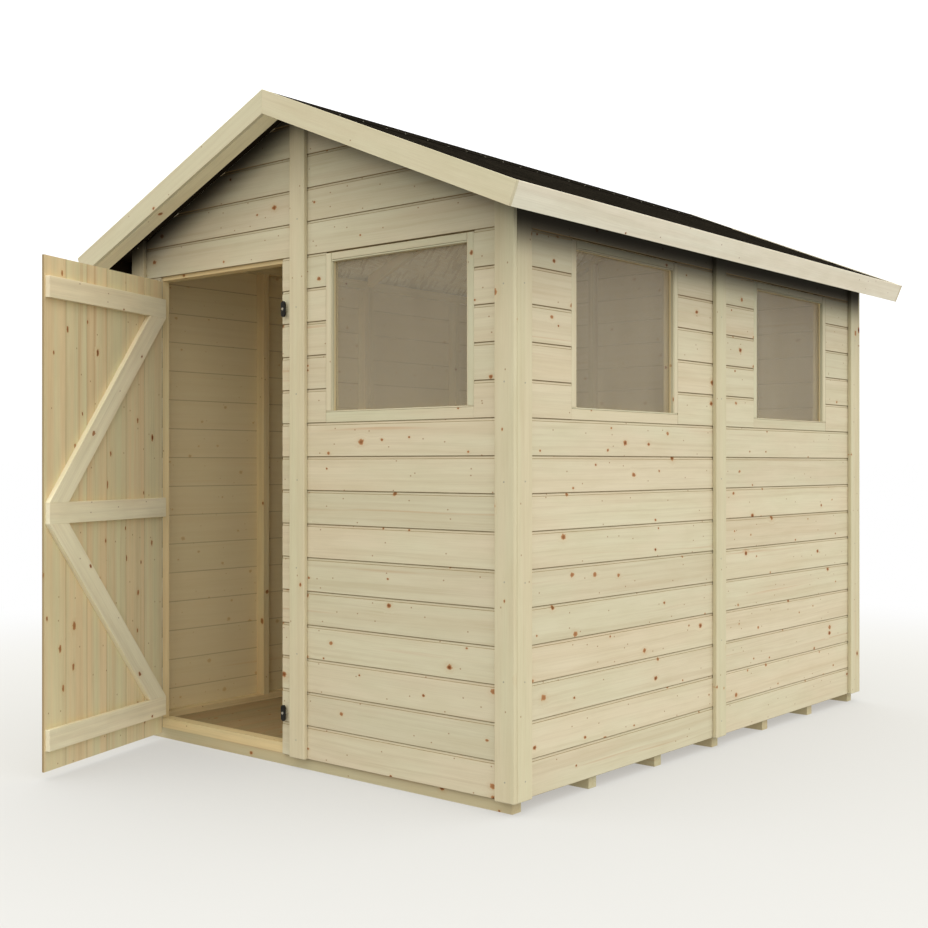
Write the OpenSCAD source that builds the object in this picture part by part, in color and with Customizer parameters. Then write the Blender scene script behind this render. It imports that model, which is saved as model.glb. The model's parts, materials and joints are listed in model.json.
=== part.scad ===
// Apex garden shed: boarded walls on a framed floor, three fixed windows,
// a ledged and braced door that stands open, and a felted roof.
// X runs across the front, Y from front to back, Z up from the ground.
// The origin is on the ground under the middle of the walls.

/* [Walls] */
// Width across the outer faces of the side wall boards
wall_width = 1806; // [1400:1:3000]
// Length between the outer faces of the front and rear boards
wall_length = 2405; // [1800:1:4000]
// Height that each wall board covers
board_h = 112; // [100:1:130]
// Thickness of the wall boards
board_t = 12; // [10:1:20]

/* [Frame] */
// Width of a stud along its wall
stud_w = 28; // [22:1:50]
// Depth of studs and rails behind the boards
frame_d = 44; // [30:1:70]
// Height of the bottom, head, sill and top rails
rail_h = 35; // [25:1:60]

/* [Floor] */
// Height of the bearers
bearer_h = 38; // [30:1:70]
// Width of a bearer
bearer_w = 42; // [30:1:70]
// Number of bearers
bearer_count = 7; // [3:1:11]
// Thickness of the floor boards
floor_t = 12; // [10:1:22]

/* [Roof] */
// Slope of each side of the roof, in degrees
roof_pitch = 22.95; // [15:0.05:35]
// Thickness of the roof boards
roof_t = 12; // [9:1:20]
// Thickness of the felt
felt_t = 2.5; // [1.5:0.1:4]
// Distance that the roof passes the front and rear boards
verge_overhang = 168; // [100:1:300]
// Distance that the roof passes the side walls
eaves_overhang = 136.6; // [60:0.1:250]
// Width of the bargeboards and eaves boards
barge_w = 73; // [60:1:120]
// Thickness of the bargeboards and eaves boards
barge_t = 12; // [10:1:22]
// Height that a bargeboard stands above the felt
barge_rise = 3; // [0:0.5:10]
// Width of the rails under the edges of the roof
edge_rail_w = 65; // [40:1:80]

/* [Cover strips] */
// Width of the cover strips
strip_w = 73; // [40:1:90]
// Thickness of the cover strips
strip_t = 16; // [10:1:22]

/* [Windows] */
// Width of a window frame
window_w = 632; // [400:1:700]
// Shift of the front window from the middle of its panel towards the door
front_window_shift = 11.5; // [-15:0.5:20]
// Shift of each side window from the middle of its panel towards the other one
side_window_shift = 8.25; // [-20:0.25:100]
// Width of the upright bars of a window frame
window_side_bar = 28; // [20:1:45]
// Height of the top bar of a window frame
window_top_bar = 30; // [20:1:45]
// Height of the bottom bar of a window frame
window_bottom_bar = 38; // [20:1:60]
// Depth of a window frame
window_frame_t = 18; // [14:1:30]
// Thickness of a pane
pane_t = 3; // [2:0.5:6]

/* [Door] */
// Width of the doorway
doorway_w = 677; // [500:1:700]
// Width of the boarding between the doorway and the middle of the front wall
latch_side_w = 87; // [80:1:120]
// Distance that the head shows below the boards over the door
head_shows = 13; // [0:1:30]
// Height of the bottom edge of the door above the ground
door_bottom = 24; // [20:1:60]
// Thickness of the door boards
door_t = 12; // [10:1:22]
// Angle at which the door stands open
door_open = 70.5; // [0:0.5:120]
// Width of the ledges and braces
ledge_w = 70; // [50:1:100]
// Thickness of the ledges and braces
ledge_t = 18; // [12:1:25]
// Length of the strap of each hinge
strap_length = 280; // [200:1:400]

/* [Hidden] */

wood = [0.80, 0.76, 0.60];
light_wood = [0.86, 0.82, 0.68];
frame_wood = [0.72, 0.66, 0.50];
felt_black = [0.06, 0.06, 0.06];
iron_black = [0.03, 0.03, 0.03];
bright_steel = [0.75, 0.75, 0.72];
pane_tint = [0.80, 0.86, 0.84, 0.35];

// Gap between two pieces that seat on each other along a slope
seat = 0.2;
// Gap round a window frame in its opening
window_fit = 0.5;
// Gap between a moving piece and what it passes
running_gap = 5;
// Joint between two wall panels
panel_joint = 1;

// Boards under the eaves, under a window and over it
eaves_boards_up = 16;
window_first_board = 10;
window_last_board = 15;
// Height of the eaves above the top board
eaves_gap = 9;

half_w = wall_width / 2;
half_l = wall_length / 2;
inner_x = half_w - board_t;
inner_y = half_l - board_t;
room_x = inner_x - frame_d;
room_y = inner_y - frame_d;

wall_bottom = bearer_h;
floor_top = bearer_h + floor_t;
bottom_rail_top = wall_bottom + rail_h;
eaves_z = wall_bottom + eaves_boards_up * board_h + eaves_gap;
top_rail_low = eaves_z - seat - rail_h;
ridge_z = eaves_z + half_w * tan(roof_pitch);

window_low = wall_bottom + window_first_board * board_h;
window_high = wall_bottom + window_last_board * board_h;
doorway_top = window_high;
head_bottom = doorway_top - head_shows;
front_window_x = half_w / 2 - front_window_shift;
side_window_y = half_l / 2 - side_window_shift;

doorway_right = -latch_side_w;
doorway_left = doorway_right - doorway_w;

roof_top = roof_t + felt_t;
barge_top = roof_top + barge_rise;
barge_low = barge_top - barge_w;
// Lengths down a slope from the ridge to the outer face of the eaves board,
// to its inner face, and to the edge of the roof boards
slope_length = (half_w + eaves_overhang) / cos(roof_pitch);
eaves_board_back = slope_length - barge_t;
board_slope = eaves_board_back - seat;
verge_y = half_l + verge_overhang;
roof_y = verge_y - barge_t;

// Points on a slope: s runs down it from the ridge, n stands up from the
// underside of the roof boards.
function slope_x(s, n) = s * cos(roof_pitch) + n * sin(roof_pitch);
function slope_z(s, n) = ridge_z - s * sin(roof_pitch) + n * cos(roof_pitch);
// Height of a line parallel to the slope, n above that underside
function roof_z(x, n = 0) = ridge_z + n / cos(roof_pitch) - abs(x) * tan(roof_pitch);

// A box between two corners
module box(low, high) {
    translate(low) cube(high - low);
}

// An outline in X and Z, carried from y0 to y1
module across(y0, y1, outline) {
    translate([0, y1, 0]) rotate([90, 0, 0]) linear_extrude(height = y1 - y0)
        polygon(outline);
}

// The same piece at the other end, or at the other side, of the shed
module both_ends() {
    children();
    mirror([0, 1, 0]) children();
}
module both_sides() {
    children();
    mirror([1, 0, 0]) children();
}

// A layer that follows the right-hand slope from the ridge down to s1
module slope_layer(y0, y1, n0, n1, s1) {
    across(y0, y1, [
        [0, roof_z(0, n0)],
        [slope_x(s1, n0), slope_z(s1, n0)],
        [slope_x(s1, n1), slope_z(s1, n1)],
        [0, roof_z(0, n1)]
    ]);
}

// An upright piece of a gable from x0 to x1, cut to the slope at its top.
// Neither end passes the ridge.
module under_slope(x0, x1, y0, y1, z0, n) {
    across(y0, y1, [
        [x0, z0], [x1, z0], [x1, roof_z(x1, n)], [x0, roof_z(x0, n)]
    ]);
}

// ---- Floor ----

module floor_bearers() {
    first = -inner_y + bearer_w / 2;
    pitch = (2 * inner_y - bearer_w) / (bearer_count - 1);
    color(wood) for (i = [0 : bearer_count - 1])
        translate([-inner_x, first + i * pitch - bearer_w / 2, 0])
            cube([2 * inner_x, bearer_w, bearer_h]);
}

module floor_deck() {
    color(wood) box([-room_x, -room_y, wall_bottom], [room_x, room_y, floor_top]);
}

// ---- Wall boards ----

// Opening in the boards of a wall for a window whose middle is at a
module window_hole(a) {
    translate([a - window_w / 2, -board_t, window_low])
        cube([window_w, 3 * board_t, window_high - window_low]);
}

// Boards of one side panel, from y0 to y1
module side_boards(y0, y1) {
    box([inner_x, y0, wall_bottom], [half_w, y1, eaves_z - seat]);
}

module left_wall_front_boards() {
    color(wood) mirror([1, 0, 0]) side_boards(-half_l, -panel_joint / 2);
}

module left_wall_rear_boards() {
    color(wood) mirror([1, 0, 0]) side_boards(panel_joint / 2, half_l);
}

module side_window_hole(y) {
    translate([inner_x, 0, 0]) rotate([0, 0, 90]) translate([0, -board_t, 0])
        window_hole(y);
}

module right_wall_front_boards() {
    color(wood) difference() {
        side_boards(-half_l, -panel_joint / 2);
        side_window_hole(-side_window_y);
    }
}

module right_wall_rear_boards() {
    color(wood) difference() {
        side_boards(panel_joint / 2, half_l);
        side_window_hole(side_window_y);
    }
}

module front_wall_hinge_side() {
    color(wood) box([-inner_x, -half_l, wall_bottom], [doorway_left, -inner_y, doorway_top]);
}

module front_wall_latch_side() {
    color(wood) box([doorway_right, -half_l, wall_bottom],
        [-panel_joint / 2, -inner_y, doorway_top]);
}

module front_wall_over_door() {
    color(wood) under_slope(-inner_x, -panel_joint / 2, -half_l, -inner_y, doorway_top, -seat);
}

module front_wall_window_side() {
    color(wood) difference() {
        under_slope(panel_joint / 2, inner_x, -half_l, -inner_y, wall_bottom, -seat);
        translate([0, -half_l, 0]) window_hole(front_window_x);
    }
}

module rear_wall_left_boards() {
    color(wood) under_slope(-inner_x, -panel_joint / 2, inner_y, half_l, wall_bottom, -seat);
}

module rear_wall_right_boards() {
    color(wood) under_slope(panel_joint / 2, inner_x, inner_y, half_l, wall_bottom, -seat);
}

// ---- Wall frames ----

// A stud of the right side wall, with its near face at y
module side_stud(y) {
    box([room_x, y, bottom_rail_top], [inner_x, y + stud_w, top_rail_low]);
}

module side_wall_studs() {
    middle = (inner_y - panel_joint) / 2;
    window_near = side_window_y - window_w / 2 - stud_w;
    window_far = side_window_y + window_w / 2;
    color(frame_wood) {
        both_ends() both_sides() {
            side_stud(inner_y - stud_w);
            side_stud(panel_joint);
        }
        both_ends() {
            side_stud(window_near);
            side_stud(window_far);
            mirror([1, 0, 0]) side_stud(middle);
        }
    }
}

// A rail of the right side wall along one panel
module side_rail(z) {
    box([room_x, panel_joint, z], [inner_x, inner_y, z + rail_h]);
}

// A rail that joins the two studs beside a side window
module side_window_rail(z) {
    box([room_x, side_window_y - window_w / 2, z],
        [inner_x, side_window_y + window_w / 2, z + rail_h]);
}

module side_wall_rails() {
    color(frame_wood) {
        both_ends() both_sides() {
            side_rail(wall_bottom);
            side_rail(top_rail_low);
        }
        both_ends() {
            side_window_rail(window_low - rail_h);
            side_window_rail(window_high);
        }
    }
}

// A stud of the front gable wall from x0, cut under the sloping rail
module gable_stud(x0) {
    under_slope(x0, x0 + stud_w, -inner_y, -room_y, bottom_rail_top, -stud_w - seat);
}

// The hinge post lies flat against the boards.
module gable_wall_studs() {
    window_left = front_window_x - window_w / 2 - stud_w;
    window_right = front_window_x + window_w / 2;
    quarter = room_x / 2;
    color(frame_wood) {
        both_ends() both_sides() {
            gable_stud(panel_joint);
            gable_stud(room_x - stud_w);
        }
        under_slope(doorway_left - frame_d, doorway_left, -inner_y, -inner_y + stud_w,
            bottom_rail_top, -stud_w - seat);
        gable_stud(doorway_right);
        gable_stud(window_left);
        gable_stud(window_right);
        mirror([0, 1, 0]) both_sides() gable_stud(quarter);
    }
}

module gable_wall_rails() {
    window_left = front_window_x - window_w / 2;
    window_right = front_window_x + window_w / 2;
    color(frame_wood) {
        both_ends() box([-room_x, -inner_y, wall_bottom], [room_x, -room_y, bottom_rail_top]);
        box([window_left, -inner_y, window_low - rail_h],
            [window_right, -room_y, window_low]);
        box([window_left, -inner_y, window_high],
            [window_right, -room_y, window_high + rail_h]);
    }
}

// Rails along the sloping tops of the gables
module gable_slope_rails() {
    color(frame_wood) both_ends() both_sides()
        across(-inner_y, -room_y, [
            [panel_joint, roof_z(panel_joint, -stud_w)],
            [room_x, roof_z(room_x, -stud_w)],
            [room_x, roof_z(room_x, -seat)],
            [panel_joint, roof_z(panel_joint, -seat)]
        ]);
}

module door_head() {
    color(light_wood) box([doorway_left, -inner_y, head_bottom],
        [doorway_right, -room_y, head_bottom + rail_h]);
}

// ---- Cover strips ----

module gable_corner_strips() {
    edge = half_w + strip_t;
    color(light_wood) both_ends() both_sides()
        under_slope(edge - strip_w, edge, -half_l - strip_t, -half_l, wall_bottom, -seat);
}

module side_corner_strips() {
    color(light_wood) both_ends() both_sides()
        box([half_w, half_l - strip_w, wall_bottom],
            [half_w + strip_t, half_l, roof_z(half_w + strip_t, -seat)]);
}

module gable_centre_strips() {
    half = strip_w / 2;
    color(light_wood) both_ends()
        across(-half_l - strip_t, -half_l, [
            [-half, wall_bottom], [half, wall_bottom],
            [half, roof_z(half, -seat)], [0, roof_z(0, -seat)], [-half, roof_z(half, -seat)]
        ]);
}

module side_centre_strips() {
    color(light_wood) both_sides()
        box([half_w, -strip_w / 2, wall_bottom],
            [half_w + strip_t, strip_w / 2, roof_z(half_w + strip_t, -seat)]);
}

// ---- Windows ----

// A window frame with its outer face at y = 0 and its middle at x = 0
module window_frame() {
    half = window_w / 2 - window_fit;
    low = window_low + window_fit;
    high = window_high - window_fit;
    color(light_wood) difference() {
        box([-half, 0, low], [half, window_frame_t, high]);
        box([-half + window_side_bar, -1, low + window_bottom_bar],
            [half - window_side_bar, window_frame_t + 1, high - window_top_bar]);
    }
}

// A pane against the inner face of its frame
module window_pane() {
    half = window_w / 2 - window_side_bar / 2;
    low = window_low + window_bottom_bar / 2;
    high = window_high - window_top_bar / 2;
    color(pane_tint) box([-half, window_frame_t, low], [half, window_frame_t + pane_t, high]);
}

module on_front_wall() {
    translate([front_window_x, -half_l, 0]) children();
}

module on_right_wall(y) {
    translate([half_w, y, 0]) rotate([0, 0, 90]) children();
}

module front_window_frame() {
    on_front_wall() window_frame();
}

module side_window_front_frame() {
    on_right_wall(-side_window_y) window_frame();
}

module side_window_rear_frame() {
    on_right_wall(side_window_y) window_frame();
}

module window_panes() {
    on_front_wall() window_pane();
    on_right_wall(-side_window_y) window_pane();
    on_right_wall(side_window_y) window_pane();
}

// ---- Roof ----

module right_roof_boards() {
    color(frame_wood) slope_layer(-roof_y, roof_y, 0, roof_t, board_slope);
}

module left_roof_boards() {
    mirror([1, 0, 0]) right_roof_boards();
}

module right_roof_felt() {
    color(felt_black) slope_layer(-roof_y, roof_y, roof_t, roof_top, board_slope);
}

module left_roof_felt() {
    mirror([1, 0, 0]) right_roof_felt();
}

// A pair of rafters under the middle of the roof
module rafters() {
    ridge_x = panel_joint / 2;
    end_x = room_x - seat;
    color(frame_wood) both_sides() across(-stud_w / 2, stud_w / 2, [
        [ridge_x, roof_z(ridge_x, -frame_d)],
        [end_x, roof_z(end_x, -frame_d)],
        [end_x, roof_z(end_x, -seat)],
        [ridge_x, roof_z(ridge_x, -seat)]
    ]);
}

module right_verge_rails() {
    color(light_wood) both_ends()
        slope_layer(-roof_y, -roof_y + edge_rail_w, barge_low, -seat, board_slope);
}

module left_verge_rails() {
    mirror([1, 0, 0]) right_verge_rails();
}

// Rails under the lower edges of the roof, between the verge rails
module eaves_rails() {
    rail_y = roof_y - edge_rail_w;
    color(light_wood) both_sides()
        across(-rail_y, rail_y, [
            [slope_x(board_slope - frame_d, barge_low), slope_z(board_slope - frame_d, barge_low)],
            [slope_x(board_slope, barge_low), slope_z(board_slope, barge_low)],
            [slope_x(board_slope, -seat), slope_z(board_slope, -seat)],
            [slope_x(board_slope - frame_d, -seat), slope_z(board_slope - frame_d, -seat)]
        ]);
}

module right_bargeboards() {
    color(light_wood) both_ends()
        slope_layer(-verge_y, -roof_y, barge_low, barge_top, slope_length);
}

module left_bargeboards() {
    mirror([1, 0, 0]) right_bargeboards();
}

module eaves_boards() {
    color(light_wood) both_sides()
        across(-roof_y, roof_y, [
            [slope_x(eaves_board_back, barge_low), slope_z(eaves_board_back, barge_low)],
            [slope_x(slope_length, barge_low), slope_z(slope_length, barge_low)],
            [slope_x(slope_length, barge_top), slope_z(slope_length, barge_top)],
            [slope_x(eaves_board_back, barge_top), slope_z(eaves_board_back, barge_top)]
        ]);
}

// ---- Door ----

// The door is drawn closed and then swung open about its hinge.
door_width = doorway_w - 2 * running_gap;
door_top = head_bottom - running_gap;
door_left = doorway_left + running_gap;
// The boards stand proud so that their backs pass the sill with a gap.
door_front = -half_l - running_gap;
door_back = door_front + door_t;

barrel_r = 5;
pin_r = 2.3;
pin_fit = 0.3;
plate_t = 3;
// Gap between the barrels and the face of the door
barrel_clear = 1;
hinge_x = doorway_left + running_gap / 2;
hinge_y = door_front - barrel_r - barrel_clear;
hinge_half_h = 45;
middle_half_h = 14.5;
barrel_gap = 1;
strap_h = 26;
plate_w = 33;
web_w = 6;

// Inset of the ledges from the free edge of the door. They are flush with
// its hinge edge.
ledge_inset = 5;
ledge_end = door_left + door_width - ledge_inset;
// Distances of the lower edges of the bottom and top ledges from the ends of
// the door. The middle ledge is half way between them.
bottom_ledge_up = 67;
top_ledge_down = 138;
top_ledge_up = door_top - door_bottom - top_ledge_down;
ledge_heights = [bottom_ledge_up, (bottom_ledge_up + top_ledge_up) / 2, top_ledge_up];
hinge_heights = [ledge_heights[0] + ledge_w / 2, ledge_heights[2] + ledge_w / 2];

module door_swing() {
    translate([hinge_x, hinge_y, 0]) rotate([0, 0, -door_open])
        translate([-hinge_x, -hinge_y, 0]) children();
}

module door_boards() {
    color(wood) door_swing()
        box([door_left, door_front, door_bottom],
            [door_left + door_width, door_back, door_top]);
}

module door_ledges() {
    color(light_wood) door_swing() for (h = ledge_heights)
        box([door_left, door_back, door_bottom + h],
            [ledge_end, door_back + ledge_t, door_bottom + h + ledge_w]);
}

// A brace from z0 at the hinge side to z1 at the free side
module brace(z0, z1) {
    span = ledge_w / sin(atan2(abs(z1 - z0), ledge_end - door_left));
    across(door_back, door_back + ledge_t, [
        [door_left, z0], [door_left + span, z0], [ledge_end, z1], [ledge_end - span, z1]
    ]);
}

module door_braces() {
    upper_low = door_bottom + ledge_heights[1] + ledge_w;
    upper_high = door_bottom + ledge_heights[2];
    lower_low = door_bottom + ledge_heights[0] + ledge_w;
    lower_high = door_bottom + ledge_heights[1];
    color(light_wood) door_swing() {
        brace(upper_high, upper_low);
        brace(lower_low, lower_high);
    }
}

// Fixed half of a hinge: a plate on the wall, two barrels and the pin
module hinge_plate(z) {
    translate([hinge_x, hinge_y, z]) {
        face = -half_l - hinge_y;
        box([-web_w - plate_w, face - plate_t, -hinge_half_h],
            [-web_w / 2, face, hinge_half_h]);
        cylinder(h = 2 * hinge_half_h, r = pin_r, center = true, $fn = 32);
        for (end = [-hinge_half_h, middle_half_h + barrel_gap]) {
            translate([0, 0, end]) {
                cylinder(h = hinge_half_h - middle_half_h - barrel_gap, r = barrel_r, $fn = 32);
                box([-web_w - plate_t / 2, 0, 0],
                    [-web_w / 2, face, hinge_half_h - middle_half_h - barrel_gap]);
            }
        }
    }
}

module hinge_plates() {
    color(iron_black) for (h = hinge_heights) hinge_plate(door_bottom + h);
}

// Moving half of a hinge: a strap on the door and the middle barrel
module hinge_strap(z) {
    face = door_front - hinge_y;
    translate([hinge_x, hinge_y, z]) difference() {
        union() {
            cylinder(h = 2 * middle_half_h, r = barrel_r, center = true, $fn = 32);
            box([0, face - plate_t, -strap_h / 2], [strap_length, face, strap_h / 2]);
        }
        cylinder(h = 4 * middle_half_h, r = pin_r + pin_fit, center = true, $fn = 32);
    }
}

module hinge_straps() {
    color(iron_black) door_swing() for (h = hinge_heights) hinge_strap(door_bottom + h);
}

// ---- Turn buttons ----

button_w = 20;
button_length = 54;
button_t = 5;
screw_r = 2.5;
screw_fit = 0.3;
screw_head_r = 4.5;
screw_head_t = 2;
// The spacer holds a button clear of the face of the closed door.
spacer_r = 7;
spacer_t = 2 * running_gap;
// Distance of the screws from the edge of the doorway
button_inset = 18;
button_x = doorway_right + button_inset;
// The lower button is above the lower edge of the bottom ledge, the upper one
// below the lower edge of the top ledge.
lower_button_up = 90;
upper_button_down = 17;
button_heights = [
    door_bottom + bottom_ledge_up + lower_button_up,
    door_bottom + top_ledge_up - upper_button_down
];

// The fixed screw of a turn button, with its spacer behind the button
module button_screw(z) {
    stand = spacer_t + button_t + 2 * screw_fit;
    translate([button_x, -half_l, z]) rotate([90, 0, 0]) {
        cylinder(h = spacer_t, r = spacer_r, $fn = 32);
        cylinder(h = stand, r = screw_r, $fn = 32);
        translate([0, 0, stand]) cylinder(h = screw_head_t, r = screw_head_r, $fn = 32);
    }
}

module button_screws() {
    color(bright_steel) for (z = button_heights) button_screw(z);
}

module turn_button(z) {
    straight = button_length - button_w;
    color(iron_black) translate([button_x, -half_l - spacer_t - screw_fit, z])
        rotate([90, 0, 0]) difference() {
            union() {
                translate([-button_w / 2, -straight / 2, 0])
                    cube([button_w, straight, button_t]);
                for (end = [-1, 1]) translate([0, end * straight / 2, 0])
                    cylinder(h = button_t, r = button_w / 2, $fn = 32);
            }
            translate([0, 0, -1])
                cylinder(h = button_t + 2, r = screw_r + screw_fit, $fn = 32);
        }
}

module upper_turn_button() {
    turn_button(button_heights[1]);
}

module lower_turn_button() {
    turn_button(button_heights[0]);
}

floor_bearers();
floor_deck();
left_wall_front_boards();
left_wall_rear_boards();
right_wall_front_boards();
right_wall_rear_boards();
front_wall_hinge_side();
front_wall_latch_side();
front_wall_over_door();
front_wall_window_side();
rear_wall_left_boards();
rear_wall_right_boards();
side_wall_studs();
side_wall_rails();
gable_wall_studs();
gable_wall_rails();
gable_slope_rails();
door_head();
gable_corner_strips();
side_corner_strips();
gable_centre_strips();
side_centre_strips();
front_window_frame();
side_window_front_frame();
side_window_rear_frame();
window_panes();
left_roof_boards();
right_roof_boards();
left_roof_felt();
right_roof_felt();
rafters();
left_verge_rails();
right_verge_rails();
eaves_rails();
left_bargeboards();
right_bargeboards();
eaves_boards();
hinge_plates();
button_screws();
door_boards();
door_ledges();
door_braces();
hinge_straps();
upper_turn_button();
lower_turn_button();
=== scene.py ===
import json
import math
import random

import bmesh
import bpy
from mathutils import Matrix, Vector


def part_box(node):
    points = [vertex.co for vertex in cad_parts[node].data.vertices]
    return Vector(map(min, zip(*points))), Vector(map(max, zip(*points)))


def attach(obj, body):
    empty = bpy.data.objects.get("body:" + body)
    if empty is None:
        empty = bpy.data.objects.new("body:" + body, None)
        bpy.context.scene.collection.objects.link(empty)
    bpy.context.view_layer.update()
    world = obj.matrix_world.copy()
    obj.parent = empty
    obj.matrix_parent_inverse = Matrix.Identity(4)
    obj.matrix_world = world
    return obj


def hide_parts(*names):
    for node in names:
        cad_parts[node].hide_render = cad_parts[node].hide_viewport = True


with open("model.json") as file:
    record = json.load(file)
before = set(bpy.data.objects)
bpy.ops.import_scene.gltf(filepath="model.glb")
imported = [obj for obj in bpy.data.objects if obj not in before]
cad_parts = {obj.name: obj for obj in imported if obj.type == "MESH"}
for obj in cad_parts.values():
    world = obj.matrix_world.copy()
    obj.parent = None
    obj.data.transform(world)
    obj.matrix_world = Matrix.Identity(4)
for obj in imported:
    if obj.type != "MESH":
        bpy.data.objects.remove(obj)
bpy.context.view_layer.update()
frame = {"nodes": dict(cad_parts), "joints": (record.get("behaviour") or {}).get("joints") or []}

# ---- Sizes, read from the frame where a node has them ----

side_low, side_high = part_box("right_wall_front_boards")
BOARD_T = side_high.x - side_low.x
HALF_W = side_high.x
HALF_L = -side_low.y
WALL_LOW = side_low.z
SIDE_TOP = side_high.z
PANEL_GAP = -side_high.y
BOARD_H = 0.112  # the height of wall that one board covers
SEAT = 0.0002  # left between pieces that lie against each other

PITCH = math.radians(22.95)
SIN, COS, TAN = math.sin(PITCH), math.cos(PITCH), math.tan(PITCH)
RIDGE_Z = SIDE_TOP + SEAT + HALF_W * TAN
VERGE_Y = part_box("right_bargeboards")[1].y
BARGE_T = 0.012
BARGE_LOW, BARGE_TOP = -0.0555, 0.0175
SLOPE = (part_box("eaves_boards")[1].x - BARGE_TOP * SIN) / COS
ROOF_T, FELT_T = 0.012, 0.0025
EDGE_RAIL_W, EAVES_RAIL_W = 0.065, 0.044

DOORWAY = (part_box("front_wall_hinge_side")[1].x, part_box("front_wall_latch_side")[0].x)
WINDOW_ROWS = range(10, 15)
DOOR_ROWS = range(0, 15)
WINDOW_LOW = WALL_LOW + WINDOW_ROWS[0] * BOARD_H
WINDOW_HIGH = WALL_LOW + (WINDOW_ROWS[-1] + 1) * BOARD_H
# A window frame stops short of the board above it, where a dark line shows
FRAME_T, FRAME_FIT, FRAME_TOP_GAP = 0.018, 0.0005, 0.0042
SIDE_BAR, TOP_BAR, BOTTOM_BAR = 0.028, 0.030, 0.038
STRIP_W, STRIP_T, STRIP_EASE = 0.073, 0.016, 0.0028
NAIL_R, NAIL_HIGH = 0.0028, 0.0005

# The door is open at rest; the top of its hinge's range closes it.
hinge = next(j for j in frame["joints"] if j["name"] == "door_hinge")
HINGE = Vector((hinge["pos_m"][0], hinge["pos_m"][1], 0))
DOOR_OPEN = math.radians(hinge["range_deg"][1])
RUNNING_GAP = 0.005
DOOR_W = DOORWAY[1] - DOORWAY[0] - 2 * RUNNING_GAP
DOOR_LOW, DOOR_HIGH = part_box("door_boards")[0].z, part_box("door_boards")[1].z
DOOR_LEFT = DOORWAY[0] + RUNNING_GAP
DOOR_FRONT = -HALF_L - RUNNING_GAP
DOOR_T = 0.012
LEDGE_W, LEDGE_T, LEDGE_INSET = 0.070, 0.018, 0.005
LEDGE_UPS = (0.067, 0.8025, 1.538)
DOOR_BOARDS = round(DOOR_W / BOARD_H)
DOOR_COVER = DOOR_W / DOOR_BOARDS
STRAP_T, BRACING_EASE = 0.003, 0.001
HINGE_HEIGHTS = [DOOR_LOW + up + LEDGE_W / 2 for up in (LEDGE_UPS[0], LEDGE_UPS[2])]


def roof_z(x, n=0.0):
    """Height of the line parallel to the roof, n above its boards' underside."""
    return RIDGE_Z + n / COS - abs(x) * TAN


def on_slope(s, n):
    """X and Z of a point s down the right slope from the ridge."""
    return s * COS + n * SIN, RIDGE_Z - s * SIN + n * COS


MIRROR_X = Matrix.Scale(-1, 4, Vector((1, 0, 0)))
MIRROR_Y = Matrix.Scale(-1, 4, Vector((0, 1, 0)))
BOTH_SIDES = {"right": Matrix.Identity(4), "left": MIRROR_X}
BOTH_ENDS = {"front": Matrix.Identity(4), "rear": MIRROR_Y}
X, Y, Z = Vector((1, 0, 0)), Vector((0, 1, 0)), Vector((0, 0, 1))
DOWN_SLOPE, OFF_SLOPE = Vector((COS, 0, -SIN)), Vector((SIN, 0, COS))
DOOR_SWING = (
    Matrix.Translation(HINGE) @ Matrix.Rotation(-DOOR_OPEN, 4, "Z") @ Matrix.Translation(-HINGE)
)

# ---- Meshes ----


class Piece:
    """The boards of one piece. Each point keeps its place along, across and
    into its own board, which the wood materials read as grain, a tint that
    is the same over one board, and how deep it is in a joint."""

    def __init__(self):
        self.points, self.faces = [], []
        self.grain, self.tint, self.seam = [], [], []

    def add(self, points, faces, grain, tint, seam=None):
        first = len(self.points)
        self.points += points
        self.faces += [[first + i for i in face] for face in faces]
        self.grain += grain
        self.tint += [tint] * len(points)
        self.seam += seam or [0.0] * len(points)

    def make(self, name, material, nodes=(), slot=None, body="shed"):
        mesh = bpy.data.meshes.new(name)
        mesh.from_pydata(self.points, [], self.faces)
        grain = mesh.attributes.new("grain", "FLOAT_VECTOR", "POINT")
        grain.data.foreach_set("vector", [c for g in self.grain for c in g])
        for key, values in (("tint", self.tint), ("seam", self.seam)):
            mesh.attributes.new(key, "FLOAT", "POINT").data.foreach_set("value", values)
        work = bmesh.new()
        work.from_mesh(mesh)
        bmesh.ops.recalc_face_normals(work, faces=work.faces)
        work.to_mesh(mesh)
        work.free()
        mesh.materials.append(material)
        obj = bpy.data.objects.new(name, mesh)
        bpy.context.scene.collection.objects.link(obj)
        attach(obj, body)
        if nodes:
            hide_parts(*nodes)
        return obj


def grain_of(seed):
    """A place in the wood for one board, and the board's tint."""
    pick = random.Random(str(seed))
    return Vector((pick.uniform(0, 60), pick.uniform(0, 60), pick.uniform(0, 60))), pick.random()


def timber(piece, low, high, axes, seed, ease=0.0015, where=Matrix.Identity(4)):
    """A length of wood between two outlines. axes are its long axis, its
    width and its thickness."""
    work = bmesh.new()
    a = [work.verts.new(p) for p in low]
    b = [work.verts.new(p) for p in high]
    work.faces.new(a[::-1])
    work.faces.new(b)
    for i in range(len(a)):
        j = (i + 1) % len(a)
        work.faces.new((a[i], a[j], b[j], b[i]))
    bmesh.ops.bevel(
        work, geom=list(work.edges), offset=ease, segments=2, profile=0.5, affect="EDGES"
    )
    work.verts.index_update()
    shift, tint = grain_of(seed)
    points = [where @ v.co for v in work.verts]
    grain = [Vector([v.co.dot(axis) for axis in axes]) + shift for v in work.verts]
    faces = [[v.index for v in f.verts] for f in work.faces]
    work.free()
    piece.add(points, faces, grain, tint)


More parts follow.
